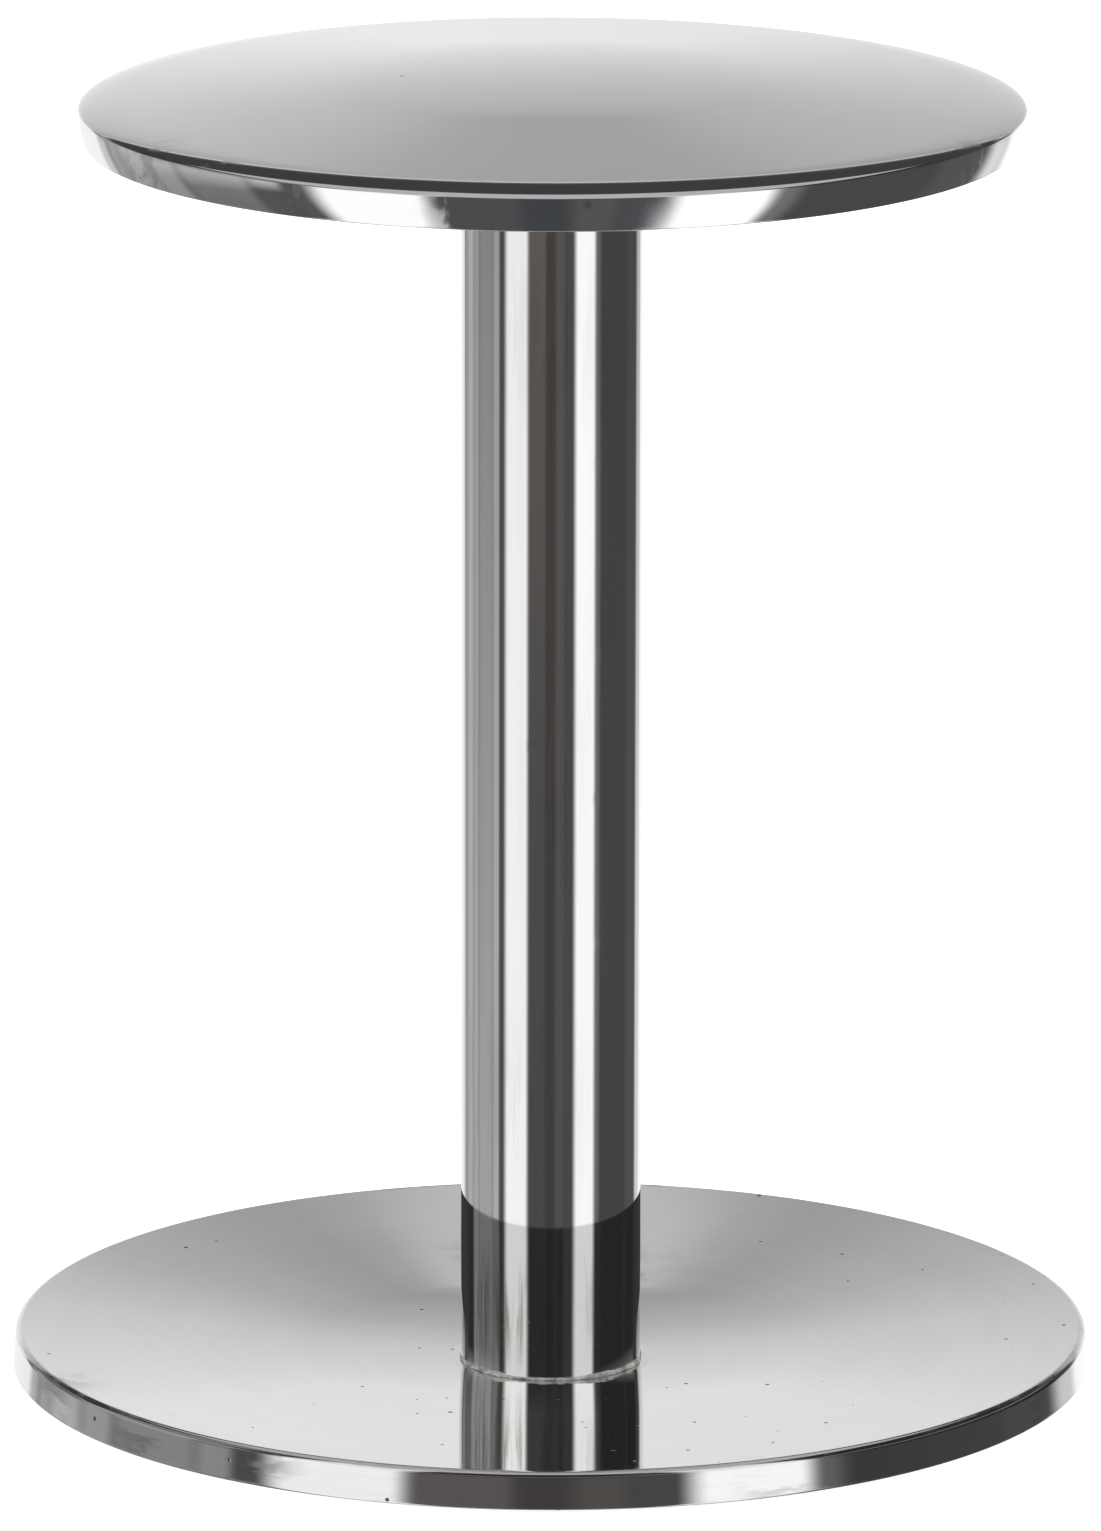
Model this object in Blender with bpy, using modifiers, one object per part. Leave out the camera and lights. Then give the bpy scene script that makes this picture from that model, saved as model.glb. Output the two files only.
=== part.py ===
"""Pedestal razor stand: a dished steel base, a tubular post and a crowned steel top plate.

Lengths are in metres and angles in radians. +Z points up, and the origin is the centre of
the face that stands on the counter.
"""
import math

import bpy

# Space kept between neighbouring pieces
CLEARANCE = 0.0003

# Base plate: round sheet pressed into a shallow dish, with a flat seat for the post
BASE_RADIUS = 0.048
BASE_SHEET = 0.0034
BASE_ANGLE = math.radians(5.3)
BASE_SEAT_ANGLE = math.radians(2.5)
BASE_BLEND_RADIUS = 0.022
BASE_EDGE_ROUND = 0.0006
BASE_LOWER_ROUND = 0.0002

# Top plate: round sheet pressed into a shallow crown, with a polished rolled edge
TOP_RADIUS = 0.0415
TOP_SHEET = 0.0034
TOP_ANGLE = math.radians(5.1)
TOP_EDGE_WIDTH = 0.0041
TOP_EDGE_DROP = 0.0005
TOP_EDGE_POWER = 2.3
TOP_RIM_TAPER = 0.00045
TOP_RIM_BOW = 0.7
TOP_LOWER_ROUND = 0.00015
APEX_BLEND_RADIUS = 0.019

# Post: seamless tube, square cut at both ends
TUBE_RADIUS = 0.008
TUBE_WALL = 0.002
TUBE_LENGTH = 0.11288
TUBE_CHAMFER = 0.0003
SEAT_MARGIN = 0.001

# Plugs pressed into the ends of the tube
PLUG_LENGTH = 0.012
PLUG_CHAMFER = 0.0005

# Countersunk machine screw that pulls the base onto the lower plug
SCREW_RADIUS = 0.0025
SCREW_LENGTH = 0.0145
SCREW_TIP_CHAMFER = 0.0005
HEAD_RADIUS = 0.0046
HEAD_LAND = 0.0004
HEAD_RECESS = 0.0001
SOCKET_WIDTH = 0.003
SOCKET_DEPTH = 0.0015

# Weld stud under the top plate, threaded into the upper plug
STUD_RADIUS = 0.0025
STUD_LENGTH = 0.010
STUD_FLANGE_RADIUS = 0.0048
STUD_FLANGE_HEIGHT = 0.001

# Moulded rubber pad under the base
PAD_RADIUS = 0.029
PAD_CENTRE_HEIGHT = 0.00142
PAD_EDGE_ROUND = 0.0005
GROOVE_RADII = (0.017, 0.023)
GROOVE_WIDTH = 0.0014
GROOVE_DEPTH = 0.0005
GROOVE_FLOOR_SHARE = 0.5

# Sealant beads where the tube meets each plate
BEAD_WIDTH = 0.0005
BEAD_HEIGHT = 0.0005
BEAD_CREST_SHARE = 1 / 3

# Turning steps round the axis
PLATE_STEPS = 96
TUBE_STEPS = 48
SMALL_STEPS = 36
EDGE_STEPS = 4
LOWER_EDGE_STEPS = 2
PAD_EDGE_STEPS = 3
ROLL_STEPS = 8
RIM_STEPS = 4
CROWN_STEPS = 5
DISH_STEPS = 4

# Meshing: points closer than this become one, and sharper bends than this stay crisp
MERGE_DISTANCE = 0.00001
CREASE_ANGLE = math.radians(25)

# Heights and radii that follow from the sizes above
tube_inner_radius = TUBE_RADIUS - TUBE_WALL
seat_radius = TUBE_RADIUS + SEAT_MARGIN
base_seat_under = PAD_CENTRE_HEIGHT + CLEARANCE
base_seat_top = base_seat_under + BASE_SHEET
tube_bottom = base_seat_top + CLEARANCE
tube_top = tube_bottom + TUBE_LENGTH
top_seat_under = tube_top + CLEARANCE
plug_radius = tube_inner_radius - CLEARANCE
screw_hole_radius = SCREW_RADIUS + CLEARANCE
stud_hole_radius = STUD_RADIUS + CLEARANCE


def clearScene():
    for item in list(bpy.data.objects):
        bpy.data.objects.remove(item, do_unlink=True)


def makeCollection(name):
    collection = bpy.data.collections.new(name)
    bpy.context.scene.collection.children.link(collection)
    return collection


def makeMaterial(name, colour, roughness, metallic):
    material = bpy.data.materials.new(name)
    material.use_nodes = True
    shader = material.node_tree.nodes["Principled BSDF"]
    shader.inputs["Base Color"].default_value = (*colour, 1.0)
    shader.inputs["Roughness"].default_value = roughness
    shader.inputs["Metallic"].default_value = metallic
    material.diffuse_color = (*colour, 1.0)
    return material


def arc(centre, radii, start, end, steps):
    """Points of an elliptical arc in the (radius, height) plane, both ends included."""
    points = []
    for index in range(steps + 1):
        angle = start + (end - start) * index / steps
        radius = centre[0] + radii[0] * math.cos(angle)
        height = centre[1] + radii[1] * math.sin(angle)
        points.append((radius, height))
    return points


def applyModifiers(item):
    """Keep the evaluated shape as the object's own mesh, smooth with crisp edges."""
    graph = bpy.context.evaluated_depsgraph_get()
    mesh = bpy.data.meshes.new_from_object(item.evaluated_get(graph))
    mesh.name = item.name
    mesh.shade_smooth()
    mesh.set_sharp_from_angle(angle=CREASE_ANGLE)
    item.modifiers.clear()
    item.data = mesh


def turned(name, outline, steps, material, collection, closed=False):
    """Turn a (radius, height) outline about Z. It runs down the outer side."""
    points = [(radius, 0.0, height) for radius, height in outline]
    edges = [(index, index + 1) for index in range(len(points) - 1)]
    if closed:
        edges.append((len(points) - 1, 0))
    mesh = bpy.data.meshes.new(name)
    mesh.from_pydata(points, edges, [])
    mesh.materials.append(material)
    item = bpy.data.objects.new(name, mesh)
    collection.objects.link(item)
    screw = item.modifiers.new("Turn", "SCREW")
    screw.axis = "Z"
    screw.steps = steps
    screw.render_steps = steps
    screw.use_merge_vertices = True
    screw.merge_threshold = MERGE_DISTANCE
    applyModifiers(item)
    return item


def dishHeight(radius):
    """Height of the base's upper face: it steepens from the seat to the blend radius."""
    seat_slope, cone_slope = math.tan(BASE_SEAT_ANGLE), math.tan(BASE_ANGLE)
    reach = BASE_BLEND_RADIUS - seat_radius
    inside = min(radius - seat_radius, reach)
    rise = seat_slope * inside + (cone_slope - seat_slope) * inside ** 2 / (2 * reach)
    return base_seat_top + rise + max(0.0, radius - BASE_BLEND_RADIUS) * cone_slope


def baseRim():
    """Upper and lower corners of the base's rim, which stands square to the sheet."""
    upper_radius = BASE_RADIUS - BASE_SHEET * math.sin(BASE_ANGLE)
    upper_height = dishHeight(upper_radius)
    lower_height = upper_height - BASE_SHEET * math.cos(BASE_ANGLE)
    return (upper_radius, upper_height), (BASE_RADIUS, lower_height)


def baseUnderHeight(radius):
    """Height of the base's conical underside, outside its flat seat."""
    lower_corner = baseRim()[1]
    return lower_corner[1] - (lower_corner[0] - radius) * math.tan(BASE_ANGLE)


def baseUnderSeatRadius():
    """Radius at which the base's conical underside meets its flat seat."""
    lower_corner = baseRim()[1]
    return lower_corner[0] - (lower_corner[1] - base_seat_under) / math.tan(BASE_ANGLE)


def makeBasePlate(collection, material):
    upper, lower = baseRim()
    bevel, lower_bevel = BASE_EDGE_ROUND, BASE_LOWER_ROUND
    along = (math.cos(BASE_ANGLE), math.sin(BASE_ANGLE))
    down = (math.sin(BASE_ANGLE), -math.cos(BASE_ANGLE))
    upper_centre = (upper[0] - bevel * along[0] + bevel * down[0],
                    upper[1] - bevel * along[1] + bevel * down[1])
    lower_centre = (lower[0] - lower_bevel * along[0] - lower_bevel * down[0],
                    lower[1] - lower_bevel * along[1] - lower_bevel * down[1])
    quarter = math.pi / 2
    countersink_radius = HEAD_RADIUS + CLEARANCE * math.sqrt(2)
    countersink_land = base_seat_under + HEAD_RECESS + HEAD_LAND
    outline = [(screw_hole_radius, base_seat_top), (seat_radius, base_seat_top)]
    for index in range(1, DISH_STEPS + 1):
        radius = seat_radius + (BASE_BLEND_RADIUS - seat_radius) * index / DISH_STEPS
        outline.append((radius, dishHeight(radius)))
    outline += arc(upper_centre, (bevel, bevel), BASE_ANGLE + quarter, BASE_ANGLE, EDGE_STEPS)
    outline += arc(lower_centre, (lower_bevel, lower_bevel), BASE_ANGLE, BASE_ANGLE - quarter,
                   LOWER_EDGE_STEPS)
    outline.append((baseUnderSeatRadius(), base_seat_under))
    outline.append((countersink_radius, base_seat_under))
    outline.append((countersink_radius, countersink_land))
    outline.append((screw_hole_radius, countersink_land + countersink_radius - screw_hole_radius))
    return turned("base_plate", outline, PLATE_STEPS, material, collection, closed=True)


def makeFootPad(collection, material):
    edge_height = baseUnderHeight(PAD_RADIUS) - CLEARANCE
    quarter = math.pi / 2
    upper_centre = (PAD_RADIUS - PAD_EDGE_ROUND, edge_height - PAD_EDGE_ROUND)
    lower_centre = (PAD_RADIUS - PAD_EDGE_ROUND, PAD_EDGE_ROUND)
    outline = [(0.0, PAD_CENTRE_HEIGHT), (baseUnderSeatRadius(), PAD_CENTRE_HEIGHT)]
    outline += arc(upper_centre, (PAD_EDGE_ROUND, PAD_EDGE_ROUND), quarter, 0.0, PAD_EDGE_STEPS)
    outline += arc(lower_centre, (PAD_EDGE_ROUND, PAD_EDGE_ROUND), 0.0, -quarter, PAD_EDGE_STEPS)
    mouth = GROOVE_WIDTH / 2
    floor = mouth * GROOVE_FLOOR_SHARE
    for radius in sorted(GROOVE_RADII, reverse=True):
        outline.append((radius + mouth, 0.0))
        outline.append((radius + floor, GROOVE_DEPTH))
        outline.append((radius - floor, GROOVE_DEPTH))
        outline.append((radius - mouth, 0.0))
    outline.append((0.0, 0.0))
    return turned("foot_pad", outline, TUBE_STEPS, material, collection)


def makeBaseScrew(collection, cutters, material):
    bottom = base_seat_under + HEAD_RECESS
    cone_start = bottom + HEAD_LAND
    cone_end = cone_start + HEAD_RADIUS - SCREW_RADIUS
    tip = bottom + SCREW_LENGTH
    outline = [
        (0.0, tip),
        (SCREW_RADIUS - SCREW_TIP_CHAMFER, tip),
        (SCREW_RADIUS, tip - SCREW_TIP_CHAMFER),
        (SCREW_RADIUS, cone_end),
        (HEAD_RADIUS, cone_start),
        (HEAD_RADIUS, bottom),
        (0.0, bottom),
    ]
    screw = turned("base_screw", outline, SMALL_STEPS, material, collection)
    bpy.ops.mesh.primitive_cylinder_add(
        vertices=6,
        radius=SOCKET_WIDTH / math.sqrt(3),
        depth=2 * SOCKET_DEPTH,
        location=(0.0, 0.0, bottom),
    )
    socket = bpy.context.object
    socket.name = "socket_cutter"
    socket.display_type = "WIRE"
    socket.hide_render = True
    for owner in list(socket.users_collection):
        owner.objects.unlink(socket)
    cutters.objects.link(socket)
    cut = screw.modifiers.new("Socket", "BOOLEAN")
    cut.operation = "DIFFERENCE"
    cut.object = socket
    return screw


def makePlug(name, bottom, hole_radius, collection, material):
    top = bottom + PLUG_LENGTH
    outline = [
        (hole_radius, top),
        (plug_radius - PLUG_CHAMFER, top),
        (plug_radius, top - PLUG_CHAMFER),
        (plug_radius, bottom + PLUG_CHAMFER),
        (plug_radius - PLUG_CHAMFER, bottom),
        (hole_radius, bottom),
    ]
    return turned(name, outline, SMALL_STEPS, material, collection, closed=True)


def makePostTube(collection, material):
    outline = [
        (tube_inner_radius, tube_top),
        (TUBE_RADIUS - TUBE_CHAMFER, tube_top),
        (TUBE_RADIUS, tube_top - TUBE_CHAMFER),
        (TUBE_RADIUS, tube_bottom + TUBE_CHAMFER),
        (TUBE_RADIUS - TUBE_CHAMFER, tube_bottom),
        (tube_inner_radius, tube_bottom),
    ]
    return turned("post_tube", outline, TUBE_STEPS, material, collection, closed=True)


def makeTopStud(collection, material):
    top = top_seat_under - CLEARANCE
    shoulder = top - STUD_FLANGE_HEIGHT
    tip = shoulder - STUD_LENGTH
    outline = [
        (0.0, top),
        (STUD_FLANGE_RADIUS, top),
        (STUD_FLANGE_RADIUS, shoulder),
        (STUD_RADIUS, shoulder),
        (STUD_RADIUS, tip + SCREW_TIP_CHAMFER),
        (STUD_RADIUS - SCREW_TIP_CHAMFER, tip),
        (0.0, tip),
    ]
    return turned("top_stud", outline, SMALL_STEPS, material, collection)


def topRimHeights():
    """Heights of the top plate's lower rim corner and of the crown where the edge rolls off."""
    lower_radius = TOP_RADIUS - TOP_RIM_TAPER
    lower_height = top_seat_under - (lower_radius - seat_radius) * math.tan(TOP_ANGLE)
    roll_radius = TOP_RADIUS - TOP_EDGE_WIDTH
    roll_height = (top_seat_under + TOP_SHEET / math.cos(TOP_ANGLE)
                   - (roll_radius - seat_radius) * math.tan(TOP_ANGLE))
    return lower_height, roll_height


def makeTopPlate(collection, material):
    lower_height, roll_height = topRimHeights()
    lower_radius = TOP_RADIUS - TOP_RIM_TAPER
    roll_radius = TOP_RADIUS - TOP_EDGE_WIDTH
    slope = math.tan(TOP_ANGLE)
    # The apex is a parabola that meets the cone with the same slope
    apex = roll_height + slope * (roll_radius - APEX_BLEND_RADIUS / 2)
    outline = []
    for index in range(CROWN_STEPS + 1):
        radius = APEX_BLEND_RADIUS * index / CROWN_STEPS
        outline.append((radius, apex - slope * radius ** 2 / (2 * APEX_BLEND_RADIUS)))
    outline.append((roll_radius, roll_height))
    # The rolled edge is a quarter of a superellipse laid on the slope of the cone
    for index in range(1, ROLL_STEPS + 1):
        share = math.sin(math.pi / 2 * index / ROLL_STEPS)
        fall = TOP_EDGE_DROP * (1 - (1 - share ** TOP_EDGE_POWER) ** (1 / TOP_EDGE_POWER))
        out = TOP_EDGE_WIDTH * share
        outline.append((roll_radius + out, roll_height - slope * out - fall))
    # The rim draws inwards towards its lower edge, more and more steeply
    rim_top = outline[-1][1]
    rim_bottom = lower_height + TOP_LOWER_ROUND
    for index in range(1, RIM_STEPS + 1):
        share = index / RIM_STEPS
        inward = TOP_RIM_TAPER * ((1 - TOP_RIM_BOW) * share + TOP_RIM_BOW * share ** 2)
        outline.append((TOP_RADIUS - inward, rim_top + (rim_bottom - rim_top) * share))
    outline.append((lower_radius - TOP_LOWER_ROUND, lower_height + TOP_LOWER_ROUND * slope))
    outline.append((seat_radius, top_seat_under))
    outline.append((0.0, top_seat_under))
    return turned("top_plate", outline, PLATE_STEPS, material, collection)


def makeBead(name, height, direction, collection, material):
    """Small fillet ring round the tube; direction is +1 above a plate and -1 below one."""
    inner = TUBE_RADIUS + CLEARANCE
    near = height + direction * CLEARANCE
    far = near + direction * BEAD_HEIGHT
    upper, lower = max(near, far), min(near, far)
    crest = inner + BEAD_WIDTH * BEAD_CREST_SHARE
    foot = inner + BEAD_WIDTH
    upper_radius, lower_radius = (crest, foot) if direction > 0 else (foot, crest)
    outline = [(inner, upper), (upper_radius, upper), (lower_radius, lower), (inner, lower)]
    return turned(name, outline, TUBE_STEPS, material, collection, closed=True)


def build():
    clearScene()
    stand = makeCollection("pedestal_razor_stand")
    cutters = makeCollection("cutters")
    makeBasePlate(stand, makeMaterial("base_steel", (0.80, 0.80, 0.79), 0.04, 1.0))
    makeFootPad(stand, makeMaterial("pad_rubber", (0.03, 0.03, 0.03), 0.75, 0.0))
    makeBaseScrew(stand, cutters, makeMaterial("screw_steel", (0.55, 0.55, 0.54), 0.30, 1.0))
    makePlug("lower_plug", tube_bottom, screw_hole_radius, stand,
             makeMaterial("lower_plug_steel", (0.55, 0.55, 0.54), 0.35, 1.0))
    makePostTube(stand, makeMaterial("tube_steel", (0.80, 0.80, 0.79), 0.04, 1.0))
    plug_bottom = top_seat_under - 2 * CLEARANCE - STUD_FLANGE_HEIGHT - PLUG_LENGTH
    makePlug("upper_plug", plug_bottom, stud_hole_radius, stand,
             makeMaterial("upper_plug_steel", (0.55, 0.55, 0.54), 0.35, 1.0))
    makeTopStud(stand, makeMaterial("stud_steel", (0.55, 0.55, 0.54), 0.30, 1.0))
    makeTopPlate(stand, makeMaterial("top_steel", (0.80, 0.80, 0.79), 0.04, 1.0))
    makeBead("foot_seal_bead", base_seat_top, 1, stand,
             makeMaterial("foot_sealant", (0.80, 0.80, 0.78), 0.35, 0.0))
    makeBead("head_seal_bead", top_seat_under, -1, stand,
             makeMaterial("head_sealant", (0.80, 0.80, 0.78), 0.35, 0.0))


build()
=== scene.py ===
# Looks for a polished steel pedestal razor stand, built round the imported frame.
import math

import bmesh
import bpy
from mathutils import Euler, Matrix, Vector, noise


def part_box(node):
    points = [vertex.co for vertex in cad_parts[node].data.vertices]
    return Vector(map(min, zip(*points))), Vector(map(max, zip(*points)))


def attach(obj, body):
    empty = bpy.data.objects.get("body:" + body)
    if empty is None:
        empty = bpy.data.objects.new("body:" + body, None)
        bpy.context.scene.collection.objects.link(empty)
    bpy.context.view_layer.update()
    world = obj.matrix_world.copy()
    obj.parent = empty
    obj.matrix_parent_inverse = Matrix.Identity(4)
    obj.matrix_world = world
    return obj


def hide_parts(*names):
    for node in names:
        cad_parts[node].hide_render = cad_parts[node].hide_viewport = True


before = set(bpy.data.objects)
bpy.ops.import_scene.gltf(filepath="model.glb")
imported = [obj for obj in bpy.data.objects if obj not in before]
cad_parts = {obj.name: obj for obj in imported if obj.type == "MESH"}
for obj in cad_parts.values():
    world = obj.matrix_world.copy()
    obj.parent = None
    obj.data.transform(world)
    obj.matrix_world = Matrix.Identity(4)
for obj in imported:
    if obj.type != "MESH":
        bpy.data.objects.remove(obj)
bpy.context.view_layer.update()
mm = 0.001
micron = 0.000001
quarterTurn = math.pi / 2
onAxis = 1e-7  # metres; anything nearer the axis is a single point
samePlace = 1e-8  # metres; run ends this close are joined
print("frame loaded,", len(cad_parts), "solids")


# Profiles of turned pieces are runs of (radius, height, normal out, normal up).
# They go down the outer side, with the metal on the right-hand side of the walk.

def straightRun(start, end, count=1):
    length = math.hypot(end[0] - start[0], end[1] - start[1])
    normal = ((start[1] - end[1]) / length, (end[0] - start[0]) / length)
    points = []
    for index in range(count + 1):
        share = index / count
        radius = start[0] + (end[0] - start[0]) * share
        height = start[1] + (end[1] - start[1]) * share
        points.append((radius, height, *normal))
    return points


def roundRun(centre, radii, start, end, count=8):
    # an elliptical arc walked from one angle to another, its normals pointing out of it
    points = []
    for index in range(count + 1):
        angle = start + (end - start) * index / count
        out, up = math.cos(angle), math.sin(angle)
        length = math.hypot(out / radii[0], up / radii[1])
        normal = (out / radii[0] / length, up / radii[1] / length)
        points.append((centre[0] + radii[0] * out, centre[1] + radii[1] * up, *normal))
    return points


def hollowRun(centre, radii, start, end, count=6):
    # the same arc cut into the metal, so its normals point to its centre
    arc = roundRun(centre, radii, start, end, count)
    return [(radius, height, -out, -up) for radius, height, out, up in arc]


def sameSpot(first, second):
    return math.hypot(first[0] - second[0], first[1] - second[1]) < samePlace


def lathe(name, runs, segments, closed=False):
    # turns the runs about Z and keeps each run's own normals, so cones mirror cleanly
    build = bmesh.new()
    rings = []
    ringOf = []
    for run in runs:
        numbers = []
        for radius, height, _, _ in run:
            if not rings or not sameSpot(rings[-1], (radius, height)):
                rings.append((radius, height))
            numbers.append(len(rings) - 1)
        ringOf.append(numbers)
    if closed:
        ringOf[-1][-1] = 0
        rings.pop()
    turns = [2 * math.pi * index / segments for index in range(segments)]
    verts = []
    for radius, height in rings:
        if radius < onAxis:
            verts.append([build.verts.new((0, 0, height))] * segments)
            continue
        spots = [(radius * math.cos(turn), radius * math.sin(turn), height) for turn in turns]
        verts.append([build.verts.new(spot) for spot in spots])
    normals = []
    for run, numbers in zip(runs, ringOf):
        for index in range(len(run) - 1):
            if numbers[index] == numbers[index + 1]:
                continue
            upper, lower = verts[numbers[index]], verts[numbers[index + 1]]
            for side in range(segments):
                after = (side + 1) % segments
                corners = [(upper, side, index), (lower, side, index + 1)]
                corners += [(lower, after, index + 1), (upper, after, index)]
                seen = []
                for ring, place, step in corners:
                    if ring[place] in seen:
                        continue
                    seen.append(ring[place])
                    out, up = run[step][2], run[step][3]
                    normals.append(Vector((out * math.cos(turns[place]), out * math.sin(turns[place]), up)))
                build.faces.new(seen).smooth = True
    mesh = bpy.data.meshes.new(name)
    build.to_mesh(mesh)
    build.free()
    mesh.normals_split_custom_set(normals)
    return linked(name, mesh)


def shapedTurn(name, outline, segments, place, closed=False, crease=35):
    # turns an outline about Z, with place(ring, turn, radius, height) moving each point of it
    build = bmesh.new()
    rings = []
    for number, (radius, height) in enumerate(outline):
        if radius < onAxis:
            rings.append([build.verts.new((0, 0, height))] * segments)
            continue
        ring = []
        for side in range(segments):
            turn = 2 * math.pi * side / segments
            newRadius, newHeight = place(number, turn, radius, height)
            across, deep = newRadius * math.cos(turn), newRadius * math.sin(turn)
            ring.append(build.verts.new((across, deep, newHeight)))
        rings.append(ring)
    pairs = list(zip(rings, rings[1:]))
    if closed:
        pairs.append((rings[-1], rings[0]))
    for upper, lower in pairs:
        for side in range(segments):
            after = (side + 1) % segments
            seen = []
            for vert in (upper[side], lower[side], lower[after], upper[after]):
                if vert not in seen:
                    seen.append(vert)
            build.faces.new(seen)
    mesh = bpy.data.meshes.new(name)
    build.to_mesh(mesh)
    build.free()
    mesh.shade_smooth()
    mesh.set_sharp_from_angle(angle=math.radians(crease))
    return linked(name, mesh)


def linked(name, mesh):
    piece = bpy.data.objects.new(name, mesh)
    bpy.context.scene.collection.objects.link(piece)
    return piece


def finishPiece(piece, material, node):
    piece.data.materials.append(material)
    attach(piece, "root")
    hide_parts(node)
    print("made", piece.name, len(piece.data.polygons), "faces")


# Small helpers for shader trees

def addNode(tree, kind, **settings):
    node = tree.nodes.new(kind)
    for key, value in settings.items():
        setattr(node, key, value)
    return node


def feed(tree, socket, value):
    if isinstance(value, bpy.types.NodeSocket):
        tree.links.new(value, socket)
    else:
        socket.default_value = value


def maths(tree, operation, first, second=0.0, third=None):
    node = addNode(tree, "ShaderNodeMath", operation=operation)
    feed(tree, node.inputs[0], first)
    feed(tree, node.inputs[1], second)
    if third is not None:
        feed(tree, node.inputs[2], third)
    return node.outputs[0]


def scaledVector(tree, vector, scale):
    node = addNode(tree, "ShaderNodeVectorMath", operation="MULTIPLY")
    feed(tree, node.inputs[0], vector)
    feed(tree, node.inputs[1], scale)
    return node.outputs[0]


def blendColours(tree, share, first, second, mode="MIX"):
    node = addNode(tree, "ShaderNodeMix", data_type="RGBA", blend_type=mode)
    feed(tree, node.inputs[0], share)
    feed(tree, node.inputs[6], first)
    feed(tree, node.inputs[7], second)
    return node.outputs[2]


def smoothRange(tree, value, low, high):
    node = addNode(tree, "ShaderNodeMapRange", interpolation_type="SMOOTHSTEP")
    feed(tree, node.inputs[0], value)
    feed(tree, node.inputs[1], low)
    feed(tree, node.inputs[2], high)
    return node.outputs[0]


def noiseValue(tree, vector, scale, detail=2.0, roughness=0.5):
    node = addNode(tree, "ShaderNodeTexNoise")
    feed(tree, node.inputs["Vector"], vector)
    feed(tree, node.inputs["Scale"], scale)
    feed(tree, node.inputs["Detail"], detail)
    feed(tree, node.inputs["Roughness"], roughness)
    return node.outputs[0]


def displayLight(tone):
    # a display tone from 0 to 255, or three of them, as light that survives one bounce off the steel
    tones = tone if isinstance(tone, tuple) else (tone, tone, tone)
    light = []
    for value in tones:
        share = value / 255
        linear = share / 12.92 if share <= 0.04045 else ((share + 0.055) / 1.055) ** 2.4
        light.append(linear / studio["mirrorLoss"])
    return (*light, 1.0)


def toneRamp(tree, value, low, high, stops):
    # tones by place along a range; at most 32 stops
    ramp = addNode(tree, "ShaderNodeValToRGB")
    elements = ramp.color_ramp.elements
    while len(elements) < len(stops):
        elements.new(0.5)
    for element, (place, tone) in zip(elements, stops):
        element.position = (place - low) / (high - low)
        element.color = displayLight(tone)
    share = maths(tree, "DIVIDE", maths(tree, "SUBTRACT", value, low), high - low)
    tree.links.new(share, ramp.inputs[0])
    return ramp.outputs[0]


# Studio: what the polished steel mirrors. Compass angle 0 is on the camera's side and positive
# turns to the right of the stand; heights are degrees above the horizon.

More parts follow.
